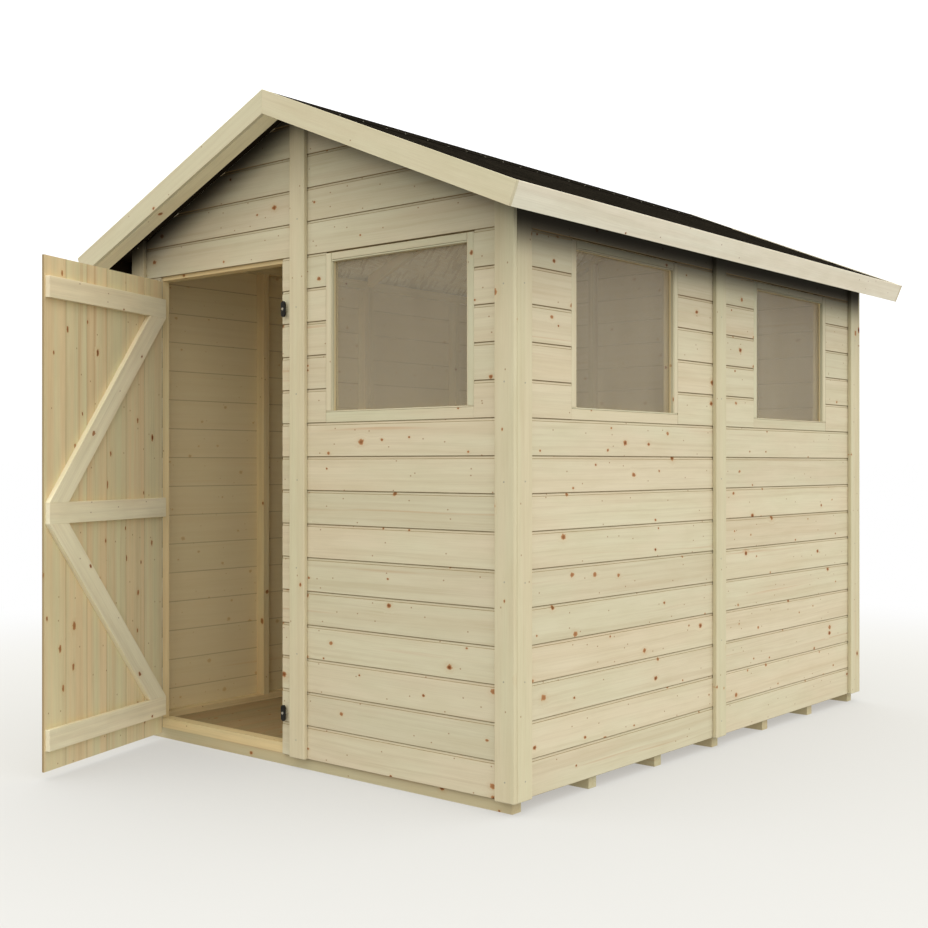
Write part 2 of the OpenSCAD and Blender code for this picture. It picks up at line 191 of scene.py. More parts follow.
def bar(piece, low, high, along, seed, ease=0.0015, where=Matrix.Identity(4)):
    """A squared length of wood between two corners; along is 0, 1 or 2."""
    low, high = Vector(low), Vector(high)
    across, depth = sorted((k for k in range(3) if k != along), key=lambda k: low[k] - high[k])
    ends = []
    for end in (low, high):
        outline = []
        for i, j in ((0, 0), (1, 0), (1, 1), (0, 1)):
            p = end.copy()
            p[across] = (low, high)[i][across]
            p[depth] = (low, high)[j][depth]
            outline.append(p)
        ends.append(outline)
    timber(piece, ends[0], ends[1], [(X, Y, Z)[k] for k in (along, across, depth)], seed, ease, where)


def slab(piece, outline, y0, y1, axes, seed, ease=0.0015, where=Matrix.Identity(4)):
    """An outline in X and Z, carried from y0 to y1."""
    low = [Vector((x, y0, z)) for x, z in outline]
    high = [Vector((x, y1, z)) for x, z in outline]
    timber(piece, low, high, axes, seed, ease, where)


def head(piece, centre, normal, radius, height, sides=10):
    """The head of a nail or screw, a low dome."""
    turn = normal.to_track_quat("Z", "Y")
    points, faces = [], []
    rings = ((1.0, 0.0), (0.92, 0.7), (0.5, 1.0))
    for share, up in rings:
        for k in range(sides):
            angle = 2 * math.pi * k / sides
            p = Vector((math.cos(angle), math.sin(angle), 0)) * radius * share
            points.append(centre + turn @ (p + Vector((0, 0, height * up))))
    for ring in range(len(rings) - 1):
        for k in range(sides):
            n = (k + 1) % sides
            a, b = ring * sides, (ring + 1) * sides
            faces.append((a + k, a + n, b + n, b + k))
    faces.append([2 * sides + k for k in range(sides)])
    faces.append(list(range(sides)))
    piece.add(points, faces, [p.copy() for p in points], 0.5)


# Section of a shiplap board: height in it, distance out from its face, and
# how deep in the joint that is. Its top 9 mm slope back behind the next board.
SECTION = [
    (0.0004, -0.0014, 1.00), (0.0012, -0.0003, 0.55), (0.0022, 0.0, 0.05), (0.0050, 0.0, 0.0),
    (0.0140, 0.0, 0.0), (0.1016, 0.0, 0.0), (0.1024, -0.0002, 0.20), (0.1031, -0.0014, 0.90),
    (0.1042, -0.0013, 0.80), (0.1050, -0.0012, 0.16), (0.1090, -0.0026, 0.14),
    (0.1106, -0.0031, 0.40), (0.1114, -0.0034, 1.0), (0.1122, -0.0044, 1.0),
    (0.1126, -0.0044, 1.0), (0.1126, -0.0112, 0.7), (0.1118, -0.0120, 0.40),
    (0.1104, -0.0120, 0.0), (0.0140, -0.0120, 0.0), (0.0040, -0.0120, 0.0),
    (0.0012, -0.0120, 0.40), (0.0004, -0.0112, 0.7),
]


def shiplap(piece, place, a0, a1, low, seed, cover=BOARD_H, top=None, reach=None, first=False):
    """One board from a0 to a1 with its lower edge at low. place turns length,
    distance out and height into a point; reach gives the end at a height.
    The first board's lower edge is open to the light, so it isn't darkened."""
    shift, tint = grain_of(seed)
    points, grain, seam = [], [], []
    for start in (True, False):
        for up, out, deep in SECTION:
            z = low + up * cover / BOARD_H
            if top is not None:
                z = min(z, top)
            a = a0 if start else (min(a1, reach(z)) if reach else a1)
            points.append(place(a, out, z))
            grain.append(Vector((a, z - low, out)) + shift)
            seam.append(0.0 if first and up < 0.01 else deep)
    n = len(SECTION)
    faces = [(i, (i + 1) % n, n + (i + 1) % n, n + i) for i in range(n)]
    faces += [list(range(n)), list(range(n, 2 * n))]
    piece.add(points, faces, grain, tint, seam)


def panel(name, node, place, a0, a1, rows, material, hole=None, hole_rows=(), top=None, reach=None):
    """The boards of one wall panel, left out where they meet its window."""
    piece = Piece()
    for row in rows:
        spans = [(a0, a1)]
        if hole and row in hole_rows:
            spans = [(a0, hole[0]), (hole[1], a1)]
        for start, end in spans:
            shiplap(piece, place, start, end, WALL_LOW + row * BOARD_H, f"{name} {row}",
                    top=top, reach=reach)
    return piece.make(name, material, node if isinstance(node, tuple) else (node,), "wall_boards")


# ---- Materials ----


def srgb(r, g, b):
    """A colour given as on screen, 0 to 255, for a shader."""
    def linear(c):
        c /= 255
        return c / 12.92 if c <= 0.04045 else ((c + 0.055) / 1.055) ** 2.4
    return (linear(r), linear(g), linear(b), 1.0)


class Shader:
    """A material and short names for the nodes it is made of."""

    def __init__(self, name):
        self.material = bpy.data.materials.new(name)
        self.material.use_nodes = True
        self.tree = self.material.node_tree
        self.tree.nodes.clear()
        self.out = self.tree.nodes.new("ShaderNodeOutputMaterial")
        self.bsdf = self.tree.nodes.new("ShaderNodeBsdfPrincipled")
        self.link(self.bsdf.outputs[0], self.out.inputs[0])

    def link(self, source, target):
        self.tree.links.new(source, target)

    def put(self, target, value):
        if isinstance(value, bpy.types.NodeSocket):
            self.link(value, target)
        else:
            target.default_value = value

    def set(self, **values):
        for key, value in values.items():
            self.put(self.bsdf.inputs[key.replace("_", " ")], value)

    def math(self, what, a, b=0.0, clamp=False):
        node = self.tree.nodes.new("ShaderNodeMath")
        node.operation, node.use_clamp = what, clamp
        self.put(node.inputs[0], a)
        self.put(node.inputs[1], b)
        return node.outputs[0]

    def vector(self, what, a, b=(0, 0, 0)):
        node = self.tree.nodes.new("ShaderNodeVectorMath")
        node.operation = what
        self.put(node.inputs[0], a)
        self.put(node.inputs[1], b)
        return node.outputs["Value" if what == "LENGTH" else "Vector"]

    def join(self, x, y, z):
        node = self.tree.nodes.new("ShaderNodeCombineXYZ")
        for socket, value in zip(node.inputs, (x, y, z)):
            self.put(socket, value)
        return node.outputs[0]

    def split(self, v):
        node = self.tree.nodes.new("ShaderNodeSeparateXYZ")
        self.link(v, node.inputs[0])
        return node.outputs

    def noise(self, v, detail=2.0, roughness=0.5):
        node = self.tree.nodes.new("ShaderNodeTexNoise")
        self.link(v, node.inputs["Vector"])
        node.inputs["Scale"].default_value = 1.0
        node.inputs["Detail"].default_value = detail
        node.inputs["Roughness"].default_value = roughness
        return node.outputs["Fac"]

    def stretched(self, v, along, across, detail, roughness=0.5):
        """Noise with so many waves per metre along the grain and across it."""
        return self.noise(self.vector("MULTIPLY", v, (along, across, across)), detail, roughness)

    def cells(self, v):
        node = self.tree.nodes.new("ShaderNodeTexVoronoi")
        node.voronoi_dimensions = "2D"
        self.link(v, node.inputs["Vector"])
        node.inputs["Scale"].default_value = 1.0
        return node.outputs

    def step(self, value, low, high, to_low=0.0, to_high=1.0):
        """to_low where value is low, rising smoothly to to_high where it is high."""
        node = self.tree.nodes.new("ShaderNodeMapRange")
        node.interpolation_type = "SMOOTHSTEP"
        for socket, v in zip(node.inputs, (value, low, high, to_low, to_high)):
            self.put(socket, v)
        return node.outputs[0]

    def mix(self, share, a, b, blend="MIX"):
        node = self.tree.nodes.new("ShaderNodeMix")
        node.data_type, node.blend_type = "RGBA", blend
        self.put(node.inputs[0], share)
        self.put(node.inputs[6], a)
        self.put(node.inputs[7], b)
        return node.outputs[2]

    def attribute(self, name):
        node = self.tree.nodes.new("ShaderNodeAttribute")
        node.attribute_name = name
        return node.outputs

    def place(self):
        return self.tree.nodes.new("ShaderNodeTexCoord").outputs["Object"]

    def bump(self, height, distance, strength=1.0):
        node = self.tree.nodes.new("ShaderNodeBump")
        node.inputs["Distance"].default_value = distance
        node.inputs["Strength"].default_value = strength
        self.link(height, node.inputs["Height"])
        self.link(node.outputs[0], self.bsdf.inputs["Normal"])


def grain_along(shader, direction):
    """Grain of a CAD piece: its place along, and round, the given direction."""
    x, y, z = shader.split(shader.place())
    if direction == "slope":
        # Measured down each slope, with the left one's wood from elsewhere
        level = shader.math("ABSOLUTE", x)
        down = shader.math("SUBTRACT", shader.math("MULTIPLY", level, COS), shader.math("MULTIPLY", z, SIN))
        off = shader.math("ADD", shader.math("MULTIPLY", level, SIN), shader.math("MULTIPLY", z, COS))
        down = shader.math("ADD", down, shader.math("MULTIPLY", shader.math("SIGN", x), 7.0))
        a, b, c = down, y, off
    else:
        a, b, c = {"x": (x, y, z), "y": (y, x, z), "z": (z, x, y)}[direction]
    return shader.join(a, shader.math("ADD", b, c), shader.math("SUBTRACT", b, c))


STREAK, BROAD_STREAK, FINE_LINE = srgb(160, 132, 88), srgb(188, 154, 112), srgb(148, 124, 82)
MOTTLE, ORANGE_STREAK = srgb(184, 170, 128), srgb(182, 120, 72)
KNOT_HALO, KNOT_RIM, KNOT_CORE = srgb(196, 150, 92), srgb(172, 108, 50), srgb(104, 50, 16)
PIN_KNOT, SEAM_SHADE = srgb(140, 88, 48), srgb(126, 100, 56)
# Painted light for the inside of the walls, and painted shade for close under the eaves
INSIDE_PAINTED_LIGHT, EAVES_PAINTED_SHADE = srgb(238, 214, 158), srgb(20, 13, 5)

KNOTS_PER_METRE, KNOT_SHARE = 8.0, 0.50
SMALL_KNOT, LARGE_KNOT = 0.0028, 0.0080
# How much lower the eaves hang over the sides than the bargeboards over the
# gables, and how far below them the darkest and the faint shade reach
EAVES_DROP = 0.085
DARK_DEPTH, FAINT_DEPTH = 0.135, 0.45


def knots_of(s, grain, share, stretch):
    """How far a point is from the nearest knot, in radii of it, whether there
    is one, its own random tone, and the way across the board to its middle."""
    along, across, _ = s.split(grain)
    pitch = KNOTS_PER_METRE
    cells = s.cells(s.join(s.math("MULTIPLY", along, pitch), s.math("MULTIPLY", across, pitch), 0.0))
    chance, tone, _ = s.split(cells["Color"])
    present = s.math("GREATER_THAN", chance, 1 - share)
    size = s.math("DIVIDE", s.math("SUBTRACT", chance, 1 - share), share)
    growth = s.math("POWER", s.math("MAXIMUM", size, 0.0), 2.0)
    radius = s.math("ADD", SMALL_KNOT, s.math("MULTIPLY", growth, LARGE_KNOT - SMALL_KNOT))
    centre = s.vector("SCALE", cells["Position"])
    centre.node.inputs["Scale"].default_value = 1 / pitch
    off_along, off_across, _ = s.split(s.vector("SUBTRACT", s.join(along, across, 0.0), centre))
    far = s.vector("LENGTH", s.join(s.math("MULTIPLY", off_along, 1 / stretch), off_across, 0.0))
    # An uneven outline, not a round one
    rough = s.stretched(grain, 130, 130, 2)
    far = s.math("MULTIPLY", far, s.math("ADD", 0.45, s.math("MULTIPLY", rough, 1.1)))
    return s.math("DIVIDE", far, radius), present, tone, off_across


def under_roof(s):
    """Where a point is: inside the walls, where a paler colour is painted in for light, and how near under
    the eaves, where shade is painted in.
    """
    x, y, z = s.split(s.place())
    wide, long = s.math("ABSOLUTE", x), s.math("ABSOLUTE", y)
    inside = s.math("MULTIPLY", s.math("LESS_THAN", wide, HALF_W - 0.95 * BOARD_T),
                    s.math("LESS_THAN", long, HALF_L - 0.95 * BOARD_T))
    below = s.math("SUBTRACT", RIDGE_Z, s.math("ADD", z, s.math("MULTIPLY", wide, TAN)))
    on_side = s.math("MULTIPLY", s.math("GREATER_THAN", wide, HALF_W - 1.1 * BOARD_T),
                     s.math("LESS_THAN", long, HALF_L + 0.001))
    below = s.math("SUBTRACT", below, s.math("MULTIPLY", on_side, EAVES_DROP))
    # Painted shade: darkest right under the eaves and bargeboards, faint further down
    shade = s.math("ADD", s.step(below, DARK_DEPTH, 0.0, 0.0, 0.82),
                   s.step(below, FAINT_DEPTH, 0.05, 0.0, 0.12))
    return inside, s.math("MULTIPLY", shade, s.math("SUBTRACT", 1.0, inside))


def bent_grain(s, grain, off_across, near):
    """The grain, which wanders along the board and bends round the knots."""
    along, across, depth = s.split(grain)
    wander = s.stretched(grain, 1.0, 5.0, 1)
    bent = s.math("SUBTRACT", across, s.math("MULTIPLY", off_across, near))
    return s.join(along, s.math("ADD", bent, s.math("MULTIPLY", wander, 0.030)), depth)


def ground_colour(s, grain, tint, green, pink, drift):
    """The wood between its lines: green to pink over a board, and mottled."""
    patches = s.stretched(grain, *drift, 3, 0.55)
    lean = s.math("MULTIPLY", s.math("SUBTRACT", tint, 0.5), 0.16)
    colour = s.mix(s.step(s.math("ADD", patches, lean), 0.36, 0.66), green, pink)
    mottle = s.stretched(grain, 5.0, 22.0, 3, 0.6)
    return s.mix(s.step(mottle, 0.35, 0.75, 0.0, 0.16), colour, MOTTLE)


def grain_lines(s, colour, path, streaks):
    """The colour with its grain, and how strong the medium and fine lines are."""
    fine = s.stretched(path, 6.0, 500.0, 2, 0.6)
    medium = s.stretched(path, 0.8, 55.0, 3, 0.6)
    broad = s.stretched(path, 0.5, 16.0, 1)
    orange = s.stretched(path, 0.7, 46.0, 2)
    for lines, low, high, most, tone in (
            (medium, 0.42, 0.72, 0.17 * streaks, STREAK),
            (broad, 0.45, 0.75, 0.12 * streaks, BROAD_STREAK),
            (fine, 0.40, 0.75, 0.10, FINE_LINE),
            (orange, 0.66, 0.78, 0.34 * streaks, ORANGE_STREAK)):
        colour = s.mix(s.step(lines, low, high, 0.0, most), colour, tone)
    return colour, medium, fine


def knotted(s, colour, ratio, present, tone, rim):
    """The colour with a halo, a rim and a dark middle to each knot."""
    halo = s.math("MULTIPLY", s.step(ratio, 3.4, 1.0, 0.0, 0.12), present)
    core = s.math("MULTIPLY", s.step(ratio, 1.0, 0.45), present)
    colour = s.mix(halo, colour, KNOT_HALO)
    colour = s.mix(s.math("MULTIPLY", rim, 0.78), colour, KNOT_RIM)
    dark = s.math("MULTIPLY", core, s.math("ADD", 0.25, s.math("MULTIPLY", tone, 0.65)))
    return s.mix(dark, colour, KNOT_CORE)


def pin_knotted(s, colour, grain, share):
    """The colour with small brown knots."""
    along, across, _ = s.split(grain)
    pins = s.cells(s.join(s.math("MULTIPLY", along, 13.0), s.math("MULTIPLY", across, 17.0), 0.0))
    present = s.math("GREATER_THAN", s.split(pins["Color"])[0], 1 - share)
    pin = s.math("MULTIPLY", s.step(pins["Distance"], 0.052, 0.026, 0.0, 0.62), present)
    return s.mix(pin, colour, PIN_KNOT)


def wood(name, green, pink, streaks=1.0, knots=1.0, direction=None, drift=(1.4, 6.0),
         stretch=1.3, eaves_shade=False):
    """Planed softwood: cream drifting to pink, faint grain that bends round
    small knots, a few orange streaks, and painted shade deep in the joints.
    What eaves_shade is given to also has painted shade close under the roof,
    and is painted paler and warmer inside the walls, standing in for light there."""
    s = Shader(name)
    if direction:
        grain = grain_along(s, direction)
        tint, seam = s.stretched(grain, 0.6, 1.7, 0), None
    else:
        grain = s.attribute("grain")["Vector"]
        tint, seam = s.attribute("tint")["Fac"], s.attribute("seam")["Fac"]

    ratio, present, tone, off_across = knots_of(s, grain, KNOT_SHARE * knots, stretch)
    rim = s.math("MULTIPLY", s.step(ratio, 1.35, 1.0), present)
    near = s.math("MULTIPLY", s.step(ratio, 5.0, 0.0), present)
    path = bent_grain(s, grain, off_across, near)

    colour = ground_colour(s, grain, tint, green, pink, drift)
    colour, medium, fine = grain_lines(s, colour, path, streaks)
    colour = knotted(s, colour, ratio, present, tone, rim)
    colour = pin_knotted(s, colour, grain, 0.34 * knots)
    value = s.math("ADD", 0.965, s.math("MULTIPLY", tint, 0.07))
    colour = s.mix(1.0, colour, s.join(value, value, value), "MULTIPLY")
    if eaves_shade:
        inside, shade = under_roof(s)
        # Painted light: the inside faces are paler and warmer, standing in for the light inside the shed
        colour = s.mix(s.math("MULTIPLY", inside, 0.6), colour, INSIDE_PAINTED_LIGHT)
        # Painted shade close under the roof
        colour = s.mix(shade, colour, EAVES_PAINTED_SHADE)
    if seam is not None:
        # Painted shade deep in the joints between boards
        colour = s.mix(s.math("MULTIPLY", seam, 0.82), colour, SEAM_SHADE)
    s.set(Base_Color=colour, Roughness=s.math("ADD", 0.58, s.math("MULTIPLY", medium, 0.22)))
    s.bsdf.inputs["Specular IOR Level"].default_value = 0.08
    height = s.math("ADD", s.math("MULTIPLY", fine, 0.5), s.math("MULTIPLY", medium, 0.8))
    s.bump(s.math("SUBTRACT", height, s.math("MULTIPLY", rim, 0.5)), 0.0004, 0.6)
    return s.material


def roof_sheet():
    """Strand board: flakes that lie every way, and painted shade outside the walls, where it is near black.
    """
    s = Shader("roof_sheet")
    x, y, _ = s.split(s.place())
    flakes = []
    for turn in (0.5, 1.7, 2.6):
        c, d = math.cos(turn), math.sin(turn)
        u = s.math("ADD", s.math("MULTIPLY", x, c), s.math("MULTIPLY", y, d))
        v = s.math("SUBTRACT", s.math("MULTIPLY", y, c), s.math("MULTIPLY", x, d))
        layer = s.cells(s.join(s.math("MULTIPLY", u, 16.0), s.math("MULTIPLY", v, 90.0), 0.0))
        flakes.append(s.split(layer["Color"]))
    first, second, third = flakes
    colour = s.mix(first[0], srgb(250, 240, 206), srgb(238, 224, 184))
    colour = s.mix(s.step(second[1], 0.5, 0.6), colour, srgb(252, 243, 212))
    colour = s.mix(s.step(third[2], 0.7, 0.8, 0.0, 0.5), colour, srgb(204, 180, 134))
    outside = s.math("MAXIMUM", s.math("GREATER_THAN", s.math("ABSOLUTE", x), HALF_W),
                     s.math("GREATER_THAN", s.math("ABSOLUTE", y), HALF_L))
    # Painted shade: near black where the sheet overhangs the walls
    colour = s.mix(outside, colour, srgb(34, 26, 15))
    s.set(Base_Color=colour, Roughness=0.8)
    s.bsdf.inputs["Specular IOR Level"].default_value = 0.05
    s.bump(s.math("ADD", first[0], second[0]), 0.0006, 0.5)
    return s.material


def felt():
    """Bitumen felt with mineral granules, a little dust in the hollows."""
    s = Shader("felt")
    place = s.place()
    grit = s.stretched(place, 620, 620, 2, 0.7)
    clumps = s.stretched(place, 110, 110, 3, 0.7)
    dust = s.stretched(place, 9, 9, 4, 0.6)
    colour = s.mix(s.step(grit, 0.45, 0.75), srgb(10, 9, 7), srgb(50, 45, 36))
    colour = s.mix(s.step(clumps, 0.45, 0.75, 0.0, 0.5), colour, srgb(56, 50, 40))
    colour = s.mix(s.step(dust, 0.4, 0.7, 0.0, 0.14), colour, srgb(66, 60, 50))
    s.set(Base_Color=colour, Roughness=1.0)
    s.bsdf.inputs["Specular IOR Level"].default_value = 0.0
    s.bump(grit, 0.0012, 0.9)
    return s.material


def pane():
    """Slightly hazy clear plastic or glass."""
    s = Shader("pane")
    smear = s.noise(s.vector("MULTIPLY", s.place(), (6, 6, 2)), 3, 0.6)
    s.set(Base_Color=srgb(236, 224, 194), Alpha=s.math("ADD", 0.12, s.math("MULTIPLY", smear, 0.08)))
    s.bsdf.inputs["Roughness"].default_value = 0.06
    return s.material


def iron():
    """Black painted iron, slightly uneven."""
    s = Shader("black_iron")
    orange_peel = s.stretched(s.place(), 240, 240, 3, 0.6)
    s.bsdf.inputs["Specular IOR Level"].default_value = 0.25
    s.set(Base_Color=s.mix(orange_peel, srgb(10, 9, 8), srgb(22, 20, 18)),
          Roughness=s.math("ADD", 0.34, s.math("MULTIPLY", orange_peel, 0.2)))
    s.bump(orange_peel, 0.0003, 0.5)
    return s.material


def steel(name, dull, bright, rough, metallic=0.9):
    """Zinc-plated steel, faintly mottled."""
    s = Shader(name)
    mottle = s.stretched(s.place(), 300, 300, 2)
    s.set(Base_Color=s.mix(mottle, dull, bright))
    s.bsdf.inputs["Metallic"].default_value = metallic
    s.bsdf.inputs["Roughness"].default_value = rough
    return s.material


EDGE_DRIFT = (0.8, 9.0)
WALL = wood("wall_boards", srgb(213, 205, 173), srgb(215, 202, 171), eaves_shade=True)
TRIM = wood("trim", srgb(210, 203, 168), srgb(212, 200, 166), 0.6, 0.5, drift=EDGE_DRIFT,
            eaves_shade=True)
FRAME_WOOD = wood("window_frames", srgb(210, 205, 172), srgb(213, 201, 169), 0.7, 0.4,
                  eaves_shade=True)
VERGE = wood("verge", srgb(246, 236, 198), srgb(246, 233, 194), 0.6, 0.5, drift=EDGE_DRIFT)
BARGE = wood("bargeboards", srgb(217, 209, 175), srgb(218, 206, 173), 0.5, 0.45, drift=EDGE_DRIFT)
# Painted light: the eaves facing is paler than the other trim, standing in for the light it catches
FACING_PAINTED_LIGHT = wood("eaves_facing", srgb(241, 236, 212), srgb(241, 231, 206), 0.5, 0.6, drift=EDGE_DRIFT)
DOOR = wood("door_boards", srgb(223, 214, 171), srgb(227, 204, 160), 0.9, 0.8, drift=(0.35, 16.0),
            stretch=2.0)
BRACING = wood("bracing", srgb(243, 234, 199), srgb(244, 229, 193), 0.8, 0.6)
DECK = wood("deck", srgb(162, 146, 106), srgb(168, 143, 103), 1.3, 1.0)
BEARERS = wood("bearers", srgb(196, 187, 150), srgb(198, 182, 142), 1.0, 0.6, "x")
FRAMING = {
    d: wood(f"framing_{d}", srgb(226, 208, 158), srgb(228, 202, 150), 1.0, 0.6, d)
    for d in ("x", "y", "z", "slope")
}
ROOF_SHEET = roof_sheet()
FELT = felt()
PANE = pane()
IRON = iron()
SCREW = steel("screw_steel", srgb(170, 170, 165), srgb(225, 224, 218), 0.28)
NAIL = steel("nail_steel", srgb(150, 144, 122), srgb(188, 182, 160), 0.6, 0.3)

# ---- Walls ----


# Each gives where a board's point is, from its place along the wall, its
# distance out of the wall's face and its height.


def front_place(side):
    return lambda a, out, z: Vector((side * a, -HALF_L - out, z))


def rear_place(side):
    return lambda a, out, z: Vector((side * a, HALF_L + out, z))


def side_place(side, end):
    return lambda a, out, z: Vector((side * (HALF_W + out), end * a, z))


def build_walls():
    inner = HALF_W - BOARD_T
    ridge = RIDGE_Z - SEAT - PANEL_GAP * TAN

    def slope_end(z):
        return (RIDGE_Z - SEAT - z) / TAN

    gable_rows = range(0, math.ceil((ridge - WALL_LOW) / BOARD_H))
    side_rows = range(0, math.ceil((SIDE_TOP - WALL_LOW) / BOARD_H))
    window_low, window_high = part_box("front_window_frame")
    front_hole = (window_low.x - FRAME_FIT, window_high.x + FRAME_FIT)
    panel("front_boards_right", "front_wall_window_side", front_place(1), PANEL_GAP, inner,
          gable_rows, WALL, front_hole, WINDOW_ROWS, ridge, slope_end)
    above = range(DOOR_ROWS[-1] + 1, gable_rows[-1] + 1)
    panel("front_boards_over_door", "front_wall_over_door", front_place(-1), PANEL_GAP, inner,
          above, WALL, top=ridge, reach=slope_end)
    panel("front_boards_latch_side", "front_wall_latch_side", front_place(-1), PANEL_GAP,
          -DOORWAY[1], DOOR_ROWS, WALL)
    panel("front_boards_hinge_side", "front_wall_hinge_side", front_place(-1), -DOORWAY[0],
          inner, DOOR_ROWS, WALL)
    for side, word in ((1, "right"), (-1, "left")):
        panel(f"rear_boards_{word}", f"rear_wall_{word}_boards", rear_place(side), PANEL_GAP,
              inner, gable_rows, WALL, top=ridge, reach=slope_end)
    side_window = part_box("side_window_rear_frame")
    side_hole = (side_window[0].y - FRAME_FIT, side_window[1].y + FRAME_FIT)
    for side, word in ((1, "right"), (-1, "left")):
        for end, place in ((-1, "front"), (1, "rear")):
            panel(f"{word}_boards_{place}", f"{word}_wall_{place}_boards", side_place(side, end),
                  PANEL_GAP, HALF_L, side_rows, WALL, side_hole if side > 0 else None,
                  WINDOW_ROWS, SIDE_TOP)


def upright(piece, x0, x1, y0, y1, seed, where):
    """A cover strip of a gable, cut to the slope at its top."""
    slab(piece, [(x0, WALL_LOW), (x1, WALL_LOW), (x1, roof_z(x1, -SEAT)), (x0, roof_z(x0, -SEAT))],
         y0, y1, (Z, X, Y), seed, STRIP_EASE, where)


def nail_row(piece, points, normal):
    """Nail heads just proud of a face, each a little out of line."""
    pick = random.Random(f"nails {points[0]}")
    for p in points:
        wander = Vector([pick.uniform(-0.003, 0.003) for _ in range(3)])
        wander -= normal * wander.dot(normal)
        head(piece, p + wander, normal, NAIL_R, NAIL_HIGH)


def turned(where, normal):
    """A direction, as it is after the mirrors in where."""
    return (where.to_3x3() @ normal).normalized()


def build_strips():
    """Two strips on each corner and one up the middle of each wall, nailed on."""
    edge, half = HALF_W + STRIP_T, STRIP_W / 2
    gable, side, centre_gable, centre_side, nails = Piece(), Piece(), Piece(), Piece(), Piece()
    first_nail, nail_step, nail_count = 0.06, 0.29, 7
    heights = [WALL_LOW + first_nail + nail_step * k for k in range(nail_count)]
    for end, turn in BOTH_ENDS.items():
        for hand, flip in BOTH_SIDES.items():
            where = turn @ flip
            upright(gable, edge - STRIP_W, edge, -HALF_L - STRIP_T, -HALF_L, f"corner {end}{hand}", where)
            bar(side, (HALF_W, -HALF_L, WALL_LOW), (edge, -HALF_L + STRIP_W, roof_z(edge, -SEAT)), 2,
                f"side corner {end}{hand}", STRIP_EASE, where)
            nail_row(nails, [where @ Vector((edge - half, -HALF_L - STRIP_T, z)) for z in heights],
                     turned(where, -Y))
            nail_row(nails, [where @ Vector((edge, -HALF_L + half, z)) for z in heights[:-1]],
                     turned(where, X))
        slab(centre_gable, [(-half, WALL_LOW), (half, WALL_LOW), (half, roof_z(half, -SEAT)),
                            (0, roof_z(0, -SEAT)), (-half, roof_z(half, -SEAT))],
             -HALF_L - STRIP_T, -HALF_L, (Z, X, Y), f"centre {end}", STRIP_EASE, turn)
        nail_row(nails, [turn @ Vector((0, -HALF_L - STRIP_T, z)) for z in heights], turned(turn, -Y))
    for hand, flip in BOTH_SIDES.items():
        bar(centre_side, (HALF_W, -half, WALL_LOW), (edge, half, roof_z(edge, -SEAT)),
            2, f"side centre {hand}", STRIP_EASE, flip)
        nail_row(nails, [flip @ Vector((edge, 0, z)) for z in heights[:-1]], turned(flip, X))
    gable.make("corner_strips_gable", TRIM, ("gable_corner_strips",), "trim")
    side.make("corner_strips_side", TRIM, ("side_corner_strips",), "trim")
    centre_gable.make("centre_strips_gable", TRIM, ("gable_centre_strips",), "trim")
    centre_side.make("centre_strips_side", TRIM, ("side_centre_strips",), "trim")
    nails.make("strip_nails", NAIL, slot="screw")


# ---- Windows ----


def frame_bar(piece, low, high, along, inner, seed, where):
    """A bar of a window frame with a thin bead along its inner edge. inner is
    the axis and the sign of the way to the glass."""
    low, high = Vector(low), Vector(high)
    bead, gap, step_back = 0.0042, 0.0008, 0.0016
    axis, sign = inner
    body_low, body_high, bead_low, bead_high = low.copy(), high.copy(), low.copy(), high.copy()
    if sign > 0:
        body_high[axis] -= bead + gap
        bead_low[axis] = high[axis] - bead
    else:
        body_low[axis] += bead + gap
        bead_high[axis] = low[axis] + bead
    bead_low.y += step_back
    bar(piece, body_low, body_high, along, seed, 0.0013, where)
    bar(piece, bead_low, bead_high, along, seed + " bead", 0.0010, where)


def build_windows():
    """Each frame: a bottom bar, two stiles that stand on it and a top bar."""
    low_z, high_z = WINDOW_LOW + FRAME_FIT, WINDOW_HIGH - FRAME_TOP_GAP
    top_back, top_lift = 0.0003, 0.002
    sill = low_z + BOTTOM_BAR
    for name, on_front in (("front_window_frame", True), ("side_window_front_frame", False),
                           ("side_window_rear_frame", False)):
        a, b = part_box(name)
        middle = (a + b) / 2
        half = (b.x - a.x if on_front else b.y - a.y) / 2
        if on_front:
            where = Matrix.Translation((middle.x, -HALF_L, 0))
        else:
            where = Matrix.Translation((HALF_W, middle.y, 0)) @ Matrix.Rotation(math.radians(90), 4, "Z")
        piece = Piece()
        edge = half - SIDE_BAR
        frame_bar(piece, (-half, 0, low_z), (half, FRAME_T, sill), 0, (2, 1), f"{name} bottom", where)
        frame_bar(piece, (-half, 0, sill), (-edge, FRAME_T, high_z), 2, (0, 1), f"{name} left", where)
        frame_bar(piece, (edge, 0, sill), (half, FRAME_T, high_z), 2, (0, -1), f"{name} right", where)
        frame_bar(piece, (-edge, top_back, high_z - TOP_BAR + top_lift), (edge, FRAME_T, high_z),
                  0, (2, -1), f"{name} top", where)
        piece.make(f"{name}_bars", FRAME_WOOD, (name,), "trim")


# ---- Roof ----


